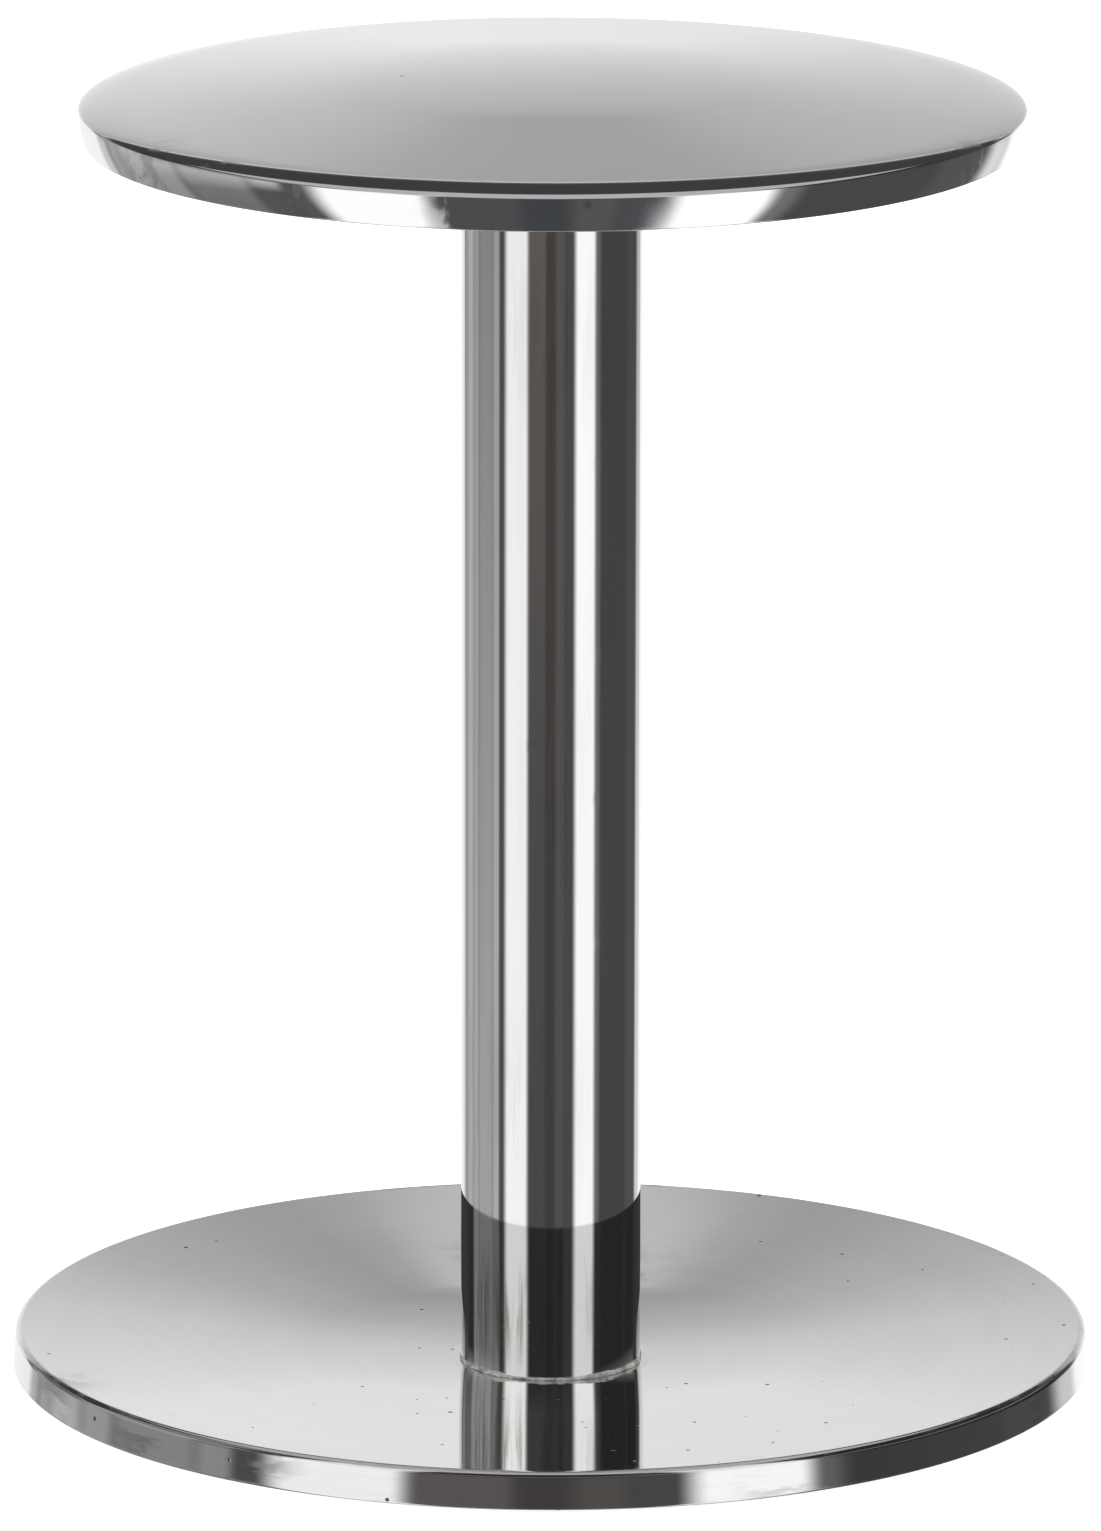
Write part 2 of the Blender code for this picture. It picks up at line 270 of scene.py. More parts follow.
studio = {
    "mirrorLoss": 0.80,
    "room": 60,
    "below": 150,
    "belowFade": (-52, -66),  # degrees over which the panels give way to the ground
    "plainLight": 1.12,  # what the camera and matt faces see
    "panels": [
        # from, to, softness at each side, then tones by height
        (-200, -145, 5, [(-14, 228), (3, 214), (19, 160), (21, 150), (24, 56)]),
        (-146, -141, 2.5, [(-14, 190), (-11, 110), (-3, 60), (3, 110), (24, 55)]),
        (-141, -134, 4, [(-14, 152), (-3, 172), (3, 140), (24, 55)]),
        (-134, -118, 5, [
            (-30, 135), (-14, 172), (-3, 160), (3, 100),
            (11.5, 90), (14, 130), (18, 130), (21, 46),
        ]),
        (-118, -106, 3, [
            (-40, 120), (-22, 140), (-16, 168), (-11, 146), (3, 140),
            (11.5, 140), (14, 165), (18, 155), (22, 124),
        ]),
        (-106, -80, 4, [
            (-40, 95), (-24, 110), (-16, 165), (-11, 126), (3, 142),
            (11.5, 142), (14, 165), (18, 155), (22, 116),
        ]),
        (-80, -70, 3, [
            (-22, 78), (-16, 176), (-11, 150), (-3, 90), (3, 112),
            (11.5, 112), (14, 150), (18, 145), (22, 118), (34, 60),
        ]),
        (-70, -61, 2, [(-16, 78), (-11, 73), (11.5, 68), (14, 120), (18, 115), (21, 56)]),
        (-61, -30, 4, [(-16, 243), (-11, 234), (3, 240), (11, 244), (17, 226), (62, 214)]),
        (-30, -7, 4, [
            (-18, (70, 71, 72)), (-14, (74, 73, 71)), (-11, (94, 89, 88)), (3, 66),
            (11.5, 42), (14, 120), (18, 115), (21, 44),
        ]),
        (-7, 5, 3, [
            (-18, (60, 62, 66)), (-14, (64, 62, 60)), (-11, (67, 62, 62)), (3, 54),
            (11.5, 40), (14, 120), (18, 115), (21, 39),
        ]),
        (5, 17, 3, [
            (-16, (79, 78, 76)), (-11, (86, 82, 80)), (3, 55), (11.5, 42),
            (14, 120), (18, 115), (21, 42),
        ]),
        (17, 30, 4, [
            (-16, (70, 71, 74)), (-11, (72, 73, 75)), (3, 60), (11.5, 50),
            (14, 120), (18, 115), (21, 56),
        ]),
        (30, 57.5, 4, [(-16, 247), (-11, 250), (3, 235), (11, 244), (17, 226), (62, 214)]),
        (57.5, 65, 4, [(-14, 104), (-3, 84), (11.5, 60), (14, 120), (18, 115), (21, 46)]),
        (65, 110, 5, [(-14, 67), (-9, 60), (-3, 34), (11.5, 38), (14, 120), (18, 115), (21, 40)]),
        (110, 136, 5, [(-14, 78), (-9, 62), (-3, 32), (11.5, 38), (14, 120), (18, 115), (21, 40)]),
        (136, 148, 5, [(-14, 205), (-9, 140), (-4, 66), (24, 50)]),
        (148, 200, 5, [(-14, 240), (3, 214), (19, 160), (21, 150), (24, 56)]),
    ],
    # a soft box overhead: its sides, as shares of its height over the stand
    "softBox": {
        "right": 0.62, "left": -0.60, "near": -0.62, "far": 1.05, "tone": 166, "soft": 0.06,
        "lowest": 0.02,  # sine of the lowest direction it is worked out for
    },
    # the sweep behind the stand: its side view as distance and height, how far it spreads for
    # each metre of distance, and its tones by height in millimetres
    "sweep": {
        "outline": [(0.75, 0.0), (0.75, 0.238), (1.06, 0.377), (1.45, 0.537), (2.25, 0.866), (2.35, 1.13)],
        "spread": 0.46,
        "sideFall": 0.7,
        "sideReach": 0.1,
        "tones": [
            (0, 215), (140, 215), (176, 206), (206, 200), (238, 193), (300, 186), (377, 180), (537, 174),
            (866, 169), (930, 164), (960, 160), (1000, 155), (1040, 152), (1080, 160), (1130, 190),
        ],
    },
}


def studioWorld():
    world = bpy.data.worlds.new("studioLight")
    bpy.context.scene.world = world
    world.use_nodes = True
    tree = world.node_tree
    tree.nodes.clear()
    place = addNode(tree, "ShaderNodeTexCoord")
    split = addNode(tree, "ShaderNodeSeparateXYZ")
    tree.links.new(place.outputs["Generated"], split.inputs[0])
    behind = maths(tree, "MULTIPLY", split.outputs[1], -1.0)
    turn = maths(tree, "ARCTAN2", split.outputs[0], behind)
    azimuth = maths(tree, "MULTIPLY", turn, 180 / math.pi)
    height = maths(tree, "MULTIPLY", maths(tree, "ARCSINE", split.outputs[2]), 180 / math.pi)

    def band(value, low, high, soft):
        rise = smoothRange(tree, value, low - soft, low + soft)
        fall = smoothRange(tree, value, high + soft, high - soft)
        return maths(tree, "MULTIPLY", rise, fall)

    colour = displayLight(studio["room"])
    for low, high, soft, stops in studio["panels"]:
        tones = toneRamp(tree, height, -90, 90, stops)
        colour = blendColours(tree, band(azimuth, low, high, soft), colour, tones)
    box = studio["softBox"]
    level = maths(tree, "MAXIMUM", split.outputs[2], box["lowest"])
    across = maths(tree, "DIVIDE", split.outputs[0], level)
    across = band(across, box["left"], box["right"], box["soft"])
    along = maths(tree, "DIVIDE", split.outputs[1], level)
    along = band(along, box["near"], box["far"], box["soft"])
    inBox = maths(tree, "MULTIPLY", across, along)
    colour = blendColours(tree, inBox, colour, displayLight(box["tone"]))
    ground = smoothRange(tree, height, *studio["belowFade"])
    colour = blendColours(tree, ground, colour, displayLight(studio["below"]))

    path = addNode(tree, "ShaderNodeLightPath")
    glossy = addNode(tree, "ShaderNodeBackground")
    tree.links.new(colour, glossy.inputs[0])
    plain = addNode(tree, "ShaderNodeBackground")
    plain.inputs[0].default_value = (1.0, 1.0, 1.0, 1.0)
    plain.inputs[1].default_value = studio["plainLight"]
    mix = addNode(tree, "ShaderNodeMixShader")
    share = maths(tree, "MAXIMUM", path.outputs["Is Camera Ray"], path.outputs["Is Diffuse Ray"])
    tree.links.new(share, mix.inputs[0])
    tree.links.new(glossy.outputs[0], mix.inputs[1])
    tree.links.new(plain.outputs[0], mix.inputs[2])
    out = addNode(tree, "ShaderNodeOutputWorld")
    tree.links.new(mix.outputs[0], out.inputs[0])
    world.cycles.sampling_method = "NONE"
    print("studio light painted")


def makeSweep():
    # a glowing sheet that rises and leans away behind the stand, seen by the steel alone
    sweep = studio["sweep"]
    build = bmesh.new()
    rows = []
    for back, height in sweep["outline"]:
        side = back * sweep["spread"]
        rows.append([build.verts.new((place, back, height)) for place in (-side, side)])
    for lower, upper in zip(rows, rows[1:]):
        build.faces.new((lower[0], lower[1], upper[1], upper[0]))
    mesh = bpy.data.meshes.new("sweep")
    build.to_mesh(mesh)
    build.free()
    screen = linked("sweep", mesh)
    top = sweep["outline"][-1][1]
    material = bpy.data.materials.new("sweepGlow")
    material.use_nodes = True
    tree = material.node_tree
    tree.nodes.clear()
    place = addNode(tree, "ShaderNodeTexCoord")
    split = addNode(tree, "ShaderNodeSeparateXYZ")
    tree.links.new(place.outputs["Object"], split.inputs[0])
    heightMm = maths(tree, "DIVIDE", split.outputs[2], mm)
    glow = addNode(tree, "ShaderNodeEmission")
    tree.links.new(toneRamp(tree, heightMm, 0, top / mm, sweep["tones"]), glow.inputs[0])
    # the light falls off towards the right
    aside = maths(tree, "DIVIDE", split.outputs[0], split.outputs[1])
    reach = sweep["sideReach"]
    aside = maths(tree, "MAXIMUM", maths(tree, "MINIMUM", aside, reach), -reach)
    tree.links.new(maths(tree, "MULTIPLY_ADD", aside, -sweep["sideFall"], 1.0), glow.inputs[1])
    out = addNode(tree, "ShaderNodeOutputMaterial")
    tree.links.new(glow.outputs[0], out.inputs[0])
    material.cycles.emission_sampling = "NONE"
    mesh.materials.append(material)
    screen.visible_camera = False
    screen.visible_diffuse = False
    screen.visible_shadow = False


# Shader groups shared by the materials

vectorInput = ("Vector", "NodeSocketVector", None)
stretchInput = ("Stretch", "NodeSocketVector", None)


def newGroup(name, inputs, outputs):
    group = bpy.data.node_groups.new(name, "ShaderNodeTree")
    for label, kind, value in inputs:
        socket = group.interface.new_socket(label, in_out="INPUT", socket_type=kind)
        if value is not None:
            socket.default_value = value
    for label, kind in outputs:
        group.interface.new_socket(label, in_out="OUTPUT", socket_type=kind)
    return group, addNode(group, "NodeGroupInput"), addNode(group, "NodeGroupOutput")


def makeGrainGroup():
    # fine parallel polishing lines; Stretch says how much finer they are along each axis
    group, given, result = newGroup(
        "polishGrain",
        [vectorInput, stretchInput, ("Contrast", "NodeSocketFloat", 1.0)],
        [("Lines", "NodeSocketFloat")],
    )
    stretched = scaledVector(group, given.outputs["Vector"], given.outputs["Stretch"])
    fine = noiseValue(group, stretched, 1.0, 3.0, 0.6)
    coarse = noiseValue(group, stretched, 0.23, 2.0)
    mixed = maths(group, "MULTIPLY_ADD", coarse, 0.6, maths(group, "MULTIPLY", fine, 0.4))
    centred = maths(group, "SUBTRACT", mixed, 0.5)
    lines = maths(group, "MULTIPLY_ADD", centred, given.outputs["Contrast"], 0.5)
    group.links.new(lines, result.inputs["Lines"])
    return group


def makeSmudgeGroup():
    # cloudy wipe marks and thin film, broken up at two scales
    group, given, result = newGroup(
        "wipeMarks",
        [vectorInput, ("Scale", "NodeSocketFloat", 60.0), ("Cover", "NodeSocketFloat", 0.5)],
        [("Mask", "NodeSocketFloat")],
    )
    broad = noiseValue(group, given.outputs["Vector"], given.outputs["Scale"], 3.0)
    fineScale = maths(group, "MULTIPLY", given.outputs["Scale"], 9.0)
    fine = noiseValue(group, given.outputs["Vector"], fineScale, 4.0, 0.7)
    edge = maths(group, "SUBTRACT", 1.0, given.outputs["Cover"])
    clouds = smoothRange(group, broad, edge, maths(group, "ADD", edge, 0.22))
    broken = smoothRange(group, fine, 0.38, 0.66)
    group.links.new(maths(group, "MULTIPLY", clouds, broken), result.inputs["Mask"])
    return group


def makeDustGroup():
    # scattered specks, a few in every hundred cells, each with its own size
    group, given, result = newGroup(
        "dustSpecks",
        [vectorInput, ("Scale", "NodeSocketFloat", 500.0), ("Size", "NodeSocketFloat", 0.06),
         ("Share", "NodeSocketFloat", 0.3)],
        [("Mask", "NodeSocketFloat")],
    )
    cells = addNode(group, "ShaderNodeTexVoronoi")
    group.links.new(given.outputs["Vector"], cells.inputs["Vector"])
    group.links.new(given.outputs["Scale"], cells.inputs["Scale"])
    split = addNode(group, "ShaderNodeSeparateColor")
    group.links.new(cells.outputs["Color"], split.inputs[0])
    varied = maths(group, "MULTIPLY_ADD", split.outputs[1], 1.2, 0.3)
    size = maths(group, "MULTIPLY", given.outputs["Size"], varied)
    spot = smoothRange(group, cells.outputs["Distance"], size, maths(group, "MULTIPLY", size, 0.6))
    chosen = maths(group, "LESS_THAN", split.outputs[0], given.outputs["Share"])
    group.links.new(maths(group, "MULTIPLY", spot, chosen), result.inputs["Mask"])
    return group


def makeWearGroup():
    # rubbed metal along a turned edge that lies at one radius and height
    group, given, result = newGroup(
        "edgeWear",
        [vectorInput, ("Radius", "NodeSocketFloat", 0.04), ("Height", "NodeSocketFloat", 0.0),
         ("Reach", "NodeSocketFloat", 0.0005)],
        [("Mask", "NodeSocketFloat")],
    )
    split = addNode(group, "ShaderNodeSeparateXYZ")
    group.links.new(given.outputs["Vector"], split.inputs[0])
    deep = maths(group, "POWER", split.outputs[1], 2.0)
    squares = maths(group, "MULTIPLY_ADD", split.outputs[0], split.outputs[0], deep)
    out = maths(group, "SUBTRACT", maths(group, "SQRT", squares), given.outputs["Radius"])
    up = maths(group, "SUBTRACT", split.outputs[2], given.outputs["Height"])
    away = maths(group, "SQRT", maths(group, "MULTIPLY_ADD", out, out, maths(group, "MULTIPLY", up, up)))
    near = smoothRange(group, away, given.outputs["Reach"], 0.0)
    cloud = noiseValue(group, given.outputs["Vector"], 260.0, 4.0, 0.7)
    patches = smoothRange(group, cloud, 0.42, 0.68)
    group.links.new(maths(group, "MULTIPLY", near, patches), result.inputs["Mask"])
    return group


def makeWaveGroup():
    # slow unevenness left by grinding, as a height in microns
    group, given, result = newGroup(
        "slowWaves",
        [vectorInput, stretchInput, ("Microns", "NodeSocketFloat", 1.0)],
        [("Height", "NodeSocketFloat")],
    )
    stretched = scaledVector(group, given.outputs["Vector"], given.outputs["Stretch"])
    waves = noiseValue(group, stretched, 1.0, 1.5, 0.4)
    group.links.new(maths(group, "MULTIPLY", waves, given.outputs["Microns"]), result.inputs["Height"])
    return group


def placeGroup(tree, group, vector, **values):
    node = addNode(tree, "ShaderNodeGroup", node_tree=group)
    tree.links.new(vector, node.inputs["Vector"])
    for label, value in values.items():
        feed(tree, node.inputs[label], value)
    return node.outputs[0]


grainGroup = makeGrainGroup()
smudgeGroup = makeSmudgeGroup()
dustGroup = makeDustGroup()
wearGroup = makeWearGroup()
waveGroup = makeWaveGroup()
print("shader groups built")


def startMaterial(name, metallic, roughness, colour):
    material = bpy.data.materials.new(name)
    material.use_nodes = True
    tree = material.node_tree
    shader = tree.nodes["Principled BSDF"]
    shader.inputs["Metallic"].default_value = metallic
    shader.inputs["Roughness"].default_value = roughness
    shader.inputs["Base Color"].default_value = (*colour, 1.0)
    place = addNode(tree, "ShaderNodeTexCoord")
    return material, tree, shader, place.outputs["Object"]


def wireMaterial(tree, shader, colour, roughness, microns):
    # the last links of every material; its relief is given in microns
    tree.links.new(colour, shader.inputs["Base Color"])
    tree.links.new(roughness, shader.inputs["Roughness"])
    bump = addNode(tree, "ShaderNodeBump")
    bump.inputs["Strength"].default_value = 1.0
    bump.inputs["Distance"].default_value = micron
    tree.links.new(microns, bump.inputs["Height"])
    tree.links.new(bump.outputs[0], shader.inputs["Normal"])


def spotMask(tree, spot, angle, radius, height, reach):
    # a soft round patch on a turned face, placed by its angle from the front
    turn = math.radians(angle)
    away = addNode(tree, "ShaderNodeVectorMath", operation="DISTANCE")
    feed(tree, away.inputs[0], spot)
    feed(tree, away.inputs[1], (radius * math.sin(turn), -radius * math.cos(turn), height))
    return smoothRange(tree, away.outputs["Value"], reach, 0.0)


dustLook = {"colour": (0.10, 0.09, 0.08, 1.0), "cover": 0.85, "rough": 0.4, "microns": 12.0}
markLook = {"contrast": 3.2, "broken": (0.35, 0.8)}


def polishedSteel(name, look):
    # mirror polish with grain, wipe marks, dust and rubbed edges, each set by the piece's look
    colour = look["colour"]
    material, tree, shader, spot = startMaterial(name, 1.0, look["roughness"], colour)
    grain = placeGroup(tree, grainGroup, spot, Stretch=look["grainStretch"], Contrast=look["grainContrast"])
    smudge = placeGroup(tree, smudgeGroup, spot, Scale=look["smudgeScale"], Cover=look["smudgeCover"])
    dust = placeGroup(
        tree, dustGroup, spot, Scale=look["dustScale"], Size=look["dustSize"], Share=look["dustShare"]
    )
    shade = maths(tree, "MULTIPLY", grain, look["grainTone"])
    shade = maths(tree, "ADD", 1.0 - look["grainTone"] / 2, shade)
    tinted = blendColours(tree, 1.0, (*colour, 1.0), shade, "MULTIPLY")
    tinted = blendColours(tree, maths(tree, "MULTIPLY", smudge, look["smudgeTone"]), tinted, look["filmColour"])
    wear = None
    for radius, height, reach in look["wearEdges"]:
        rub = placeGroup(tree, wearGroup, spot, Radius=radius, Height=height, Reach=reach)
        wear = rub if wear is None else maths(tree, "MAXIMUM", wear, rub)
    # handling marks: broken patches where the polish is dulled, a few of them stained
    broken = placeGroup(tree, grainGroup, spot, Stretch=look["markStretch"], Contrast=markLook["contrast"])
    marks = 0.0
    for angle, radius, height, reach, strength, stain in look["marks"]:
        patch = maths(tree, "MULTIPLY", spotMask(tree, spot, angle, radius, height, reach), strength)
        patch = maths(tree, "MULTIPLY", patch, smoothRange(tree, broken, *markLook["broken"]))
        tinted = blendColours(tree, patch, tinted, stain)
        marks = maths(tree, "ADD", patch, marks)
    tinted = blendColours(tree, maths(tree, "MULTIPLY", dust, dustLook["cover"]), tinted, dustLook["colour"])
    least = look["roughness"] - look["grainRough"] / 2
    rough = maths(tree, "MULTIPLY_ADD", grain, look["grainRough"], least)
    rough = maths(tree, "MULTIPLY_ADD", smudge, look["smudgeRough"], rough)
    rough = maths(tree, "MULTIPLY_ADD", dust, dustLook["rough"], rough)
    rough = maths(tree, "MULTIPLY_ADD", marks, look["markRough"], rough)
    if wear is not None:
        rough = maths(tree, "MULTIPLY_ADD", wear, look["wearRough"], rough)
    height = placeGroup(tree, waveGroup, spot, Stretch=look["waveStretch"], Microns=look["waveMicrons"])
    height = maths(tree, "MULTIPLY_ADD", grain, look["grainMicrons"], height)
    height = maths(tree, "MULTIPLY_ADD", dust, dustLook["microns"], height)
    if "extraMicrons" in look:
        height = maths(tree, "ADD", height, look["extraMicrons"](tree, spot))
    wireMaterial(tree, shader, tinted, rough, height)
    return material


# Base plate

baseShape = {
    "radius": 48.0 * mm,
    "sheet": 3.4 * mm,
    "angle": math.radians(5.3),
    "seatAngle": math.radians(2.5),
    "blendRadius": 22.0 * mm,
    "seatRadius": 9.0 * mm,
    "holeRadius": 2.8 * mm,
    "sinkRadius": 5.0243 * mm,
    "sinkLand": 0.5 * mm,
    "edgeRound": 0.6 * mm,
    "lowerRound": 0.2 * mm,
    "dishSteps": 16,
    "segments": 384,
}
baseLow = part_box("base_plate")[0]


def dishPoint(radius):
    # height and slope of the upper face, which steepens from the seat to the blend radius
    shape = baseShape
    seatSlope, coneSlope = math.tan(shape["seatAngle"]), math.tan(shape["angle"])
    reach = shape["blendRadius"] - shape["seatRadius"]
    inside = min(radius - shape["seatRadius"], reach)
    rise = seatSlope * inside + (coneSlope - seatSlope) * inside ** 2 / (2 * reach)
    rise += max(0.0, radius - shape["blendRadius"]) * coneSlope
    return baseLow.z + shape["sheet"] + rise, seatSlope + (coneSlope - seatSlope) * inside / reach


def baseCorners():
    shape = baseShape
    upperRadius = shape["radius"] - shape["sheet"] * math.sin(shape["angle"])
    upperHeight = dishPoint(upperRadius)[0]
    lowerHeight = upperHeight - shape["sheet"] * math.cos(shape["angle"])
    return (upperRadius, upperHeight), (shape["radius"], lowerHeight)


rimSilver = (0.86, 0.87, 0.88, 1.0)
rimGrey = (0.45, 0.45, 0.45, 1.0)
rimBrown = (0.42, 0.30, 0.20, 1.0)


def makeBasePlate():
    shape = baseShape
    lean, edge, lowEdge = shape["angle"], shape["edgeRound"], shape["lowerRound"]
    seatUnder = baseLow.z
    seatTop = seatUnder + shape["sheet"]
    upper, lower = baseCorners()
    along = (math.cos(lean), math.sin(lean))
    down = (math.sin(lean), -math.cos(lean))
    upperCentre = (upper[0] - edge * (along[0] - down[0]), upper[1] - edge * (along[1] - down[1]))
    lowerCentre = (lower[0] - lowEdge * (along[0] + down[0]), lower[1] - lowEdge * (along[1] + down[1]))
    underSeat = lower[0] - (lower[1] - seatUnder) / math.tan(lean)
    topArc = roundRun(upperCentre, (edge, edge), lean + quarterTurn, lean, 12)
    lowArc = roundRun(lowerCentre, (lowEdge, lowEdge), lean, lean - quarterTurn)
    dish = []
    for index in range(shape["dishSteps"] + 1):
        reach = (shape["blendRadius"] - shape["seatRadius"]) * index / shape["dishSteps"]
        radius = shape["seatRadius"] + reach
        height, slope = dishPoint(radius)
        dish.append((radius, height, -slope / math.hypot(1, slope), 1 / math.hypot(1, slope)))
    hole, sink, land = shape["holeRadius"], shape["sinkRadius"], seatUnder + shape["sinkLand"]
    sinkTop = land + sink - hole
    runs = [
        straightRun((hole, seatTop), (shape["seatRadius"], seatTop)),
        dish,
        straightRun(dish[-1][:2], topArc[0][:2], 4),
        topArc,
        straightRun(topArc[-1][:2], lowArc[0][:2], 2),
        lowArc,
        straightRun(lowArc[-1][:2], (underSeat, seatUnder), 3),
        straightRun((underSeat, seatUnder), (sink, seatUnder)),
        straightRun((sink, seatUnder), (sink, land)),
        straightRun((sink, land), (hole, sinkTop)),
        straightRun((hole, sinkTop), (hole, seatTop)),
    ]
    return lathe("basePlate", runs, shape["segments"], closed=True)


baseLook = {
    "colour": (0.80, 0.80, 0.795),
    "roughness": 0.024,
    "grainStretch": (120, 120, 9000),  # level lines round the rim
    "grainContrast": 1.6,
    "grainTone": 0.10,
    "grainRough": 0.020,
    "grainMicrons": 0.06,
    "smudgeScale": 45.0,
    "smudgeCover": 0.46,
    "smudgeTone": 0.05,
    "smudgeRough": 0.035,
    "filmColour": (0.72, 0.74, 0.76, 1.0),
    "dustScale": 420.0,
    "dustSize": 0.085,
    "dustShare": 0.34,
    "wearRough": 0.26,
    "wearEdges": [
        (baseCorners()[0][0] - 0.2 * mm, baseCorners()[0][1], 0.9 * mm),
        (baseCorners()[1][0], baseCorners()[1][1], 0.5 * mm),
    ],
    "markStretch": (500, 500, 2600),
    "markRough": 0.22,
    "marks": [
        # angle from the front, radius, height, reach, strength, stain
        (-66, 47.6 * mm, 6.6 * mm, 6.0 * mm, 0.90, rimGrey),
        (-48, 47.6 * mm, 6.4 * mm, 7.0 * mm, 0.85, rimGrey),
        (-31, 47.6 * mm, 6.9 * mm, 5.0 * mm, 0.8, rimGrey),
        (-9, 47.7 * mm, 7.2 * mm, 5.0 * mm, 0.7, rimSilver),
        (9, 47.7 * mm, 6.6 * mm, 6.0 * mm, 0.65, rimSilver),
        (24, 47.7 * mm, 6.5 * mm, 5.5 * mm, 0.65, rimGrey),
        (47, 47.7 * mm, 7.0 * mm, 4.0 * mm, 0.3, rimSilver),
        (63, 47.7 * mm, 6.6 * mm, 5.0 * mm, 0.35, rimGrey),
    ],
    "waveStretch": (70, 70, 200),
    "waveMicrons": 1.2,
}


# Top plate

topShape = {
    "radius": 41.5 * mm,
    "sheet": 3.4 * mm,
    "angle": math.radians(5.1),
    "seatRadius": 9.0 * mm,
    "apexBlend": 19.0 * mm,
    "edgeWidth": 4.1 * mm,
    "edgeDrop": 0.5 * mm,
    "edgePower": 2.3,
    "rimTaper": 0.45 * mm,
    "rimBow": 0.7,
    "lowerRound": 0.15 * mm,
    "segments": 384,
    "apexSteps": 20,
    "rollSteps": 40,
    "rimSteps": 12,
}
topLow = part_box("top_plate")[0]


def makeTopPlate():
    shape = topShape
    slope = math.tan(shape["angle"])
    lowerHeight = topLow.z
    lowerRadius = shape["radius"] - shape["rimTaper"]
    seatUnder = lowerHeight + (lowerRadius - shape["seatRadius"]) * slope
    rollRadius = shape["radius"] - shape["edgeWidth"]
    fallToRoll = (rollRadius - shape["seatRadius"]) * slope
    rollHeight = seatUnder + shape["sheet"] / math.cos(shape["angle"]) - fallToRoll
    blend = shape["apexBlend"]
    apexHeight = rollHeight + slope * (rollRadius - blend / 2)
    apex = []
    for index in range(shape["apexSteps"] + 1):
        radius = blend * index / shape["apexSteps"]
        lean = math.atan(slope * radius / blend)
        apex.append((radius, apexHeight - slope * radius ** 2 / (2 * blend), math.sin(lean), math.cos(lean)))
    # the rolled edge: a quarter of a superellipse laid on the cone's slope
    width, drop, power = shape["edgeWidth"], shape["edgeDrop"], shape["edgePower"]
    roll = []
    for index in range(shape["rollSteps"] + 1):
        share = math.sin(quarterTurn * index / shape["rollSteps"])
        rest = max(0.0, 1 - share ** power)
        height = rollHeight - slope * width * share - drop * (1 - rest ** (1 / power))
        if rest < 1e-9:
            steep = (1.0, 0.0)
        else:
            fall = slope + drop / width * share ** (power - 1) * rest ** (1 / power - 1)
            steep = (fall / math.hypot(1, fall), 1 / math.hypot(1, fall))
        roll.append((rollRadius + width * share, height, *steep))
    # the rim draws inwards towards its lower edge, more and more steeply
    rimTop, rimBottom = roll[-1][1], lowerHeight + shape["lowerRound"]
    bow, taper = shape["rimBow"], shape["rimTaper"]
    rim = []
    for index in range(shape["rimSteps"] + 1):
        share = index / shape["rimSteps"]
        inward = taper * ((1 - bow) * share + bow * share ** 2)
        lean = math.atan2(taper * ((1 - bow) + 2 * bow * share), rimTop - rimBottom)
        height = rimTop + (rimBottom - rimTop) * share
        rim.append((shape["radius"] - inward, height, math.cos(lean), -math.sin(lean)))
    edge = shape["lowerRound"]
    corner = roundRun((lowerRadius - edge, rimBottom), (edge, edge), 0.0, -quarterTurn - shape["angle"], 5)
    runs = [
        apex,
        straightRun(apex[-1][:2], roll[0][:2], 4),
        roll,
        rim,
        corner,
        straightRun(corner[-1][:2], (shape["seatRadius"], seatUnder), 3),
        straightRun((shape["seatRadius"], seatUnder), (0.0, seatUnder)),
    ]
    return lathe("topPlate", runs, shape["segments"])


topLook = {
    "colour": (0.88, 0.88, 0.885),
    "roughness": 0.022,
    "grainStretch": (90, 90, 5000),
    "grainContrast": 1.3,
    "grainTone": 0.06,
    "grainRough": 0.012,
    "grainMicrons": 0.03,
    "smudgeScale": 38.0,
    "smudgeCover": 0.46,
    "smudgeTone": 0.05,
    "smudgeRough": 0.035,
    "filmColour": (0.74, 0.75, 0.76, 1.0),
    "dustScale": 300.0,
    "dustSize": 0.055,
    "dustShare": 0.18,
    "wearRough": 0.10,
    "markStretch": (900, 900, 700),
    "markRough": 0.24,
    "marks": [
        (-58, 41.4 * mm, 117.6 * mm, 6.0 * mm, 0.80, rimGrey),
        (-46, 41.3 * mm, 117.2 * mm, 5.5 * mm, 0.80, rimSilver),
        (-33, 41.3 * mm, 117.4 * mm, 4.0 * mm, 0.60, rimSilver),
        (-12, 41.3 * mm, 116.9 * mm, 5.0 * mm, 0.95, rimSilver),
        (-4, 41.3 * mm, 117.3 * mm, 3.6 * mm, 0.70, rimSilver),
        (4, 41.4 * mm, 118.2 * mm, 0.7 * mm, 0.8, rimBrown),
        (2, 41.3 * mm, 117.0 * mm, 0.9 * mm, 0.6, rimBrown),
        (12, 41.3 * mm, 117.0 * mm, 3.5 * mm, 0.55, rimSilver),
        (38, 41.3 * mm, 117.0 * mm, 4.5 * mm, 0.50, rimSilver),
        (61, 41.4 * mm, 117.3 * mm, 6.0 * mm, 0.85, rimSilver),
    ],
    "wearEdges": [(topShape["radius"] - topShape["rimTaper"], topLow.z, 0.5 * mm)],
    "waveStretch": (60, 60, 180),
    "waveMicrons": 1.0,
}


# Post

# the tube's ends sit almost on the plates, closing the small assembly clearance of the CAD
postShape = {
    "radius": 8.0 * mm,
    "wall": 2.0 * mm,
    "chamfer": 0.1 * mm,
    "seating": 0.28 * mm,
    "segments": 256,
    "bands": 24,
}
tubeLow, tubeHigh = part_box("post_tube")


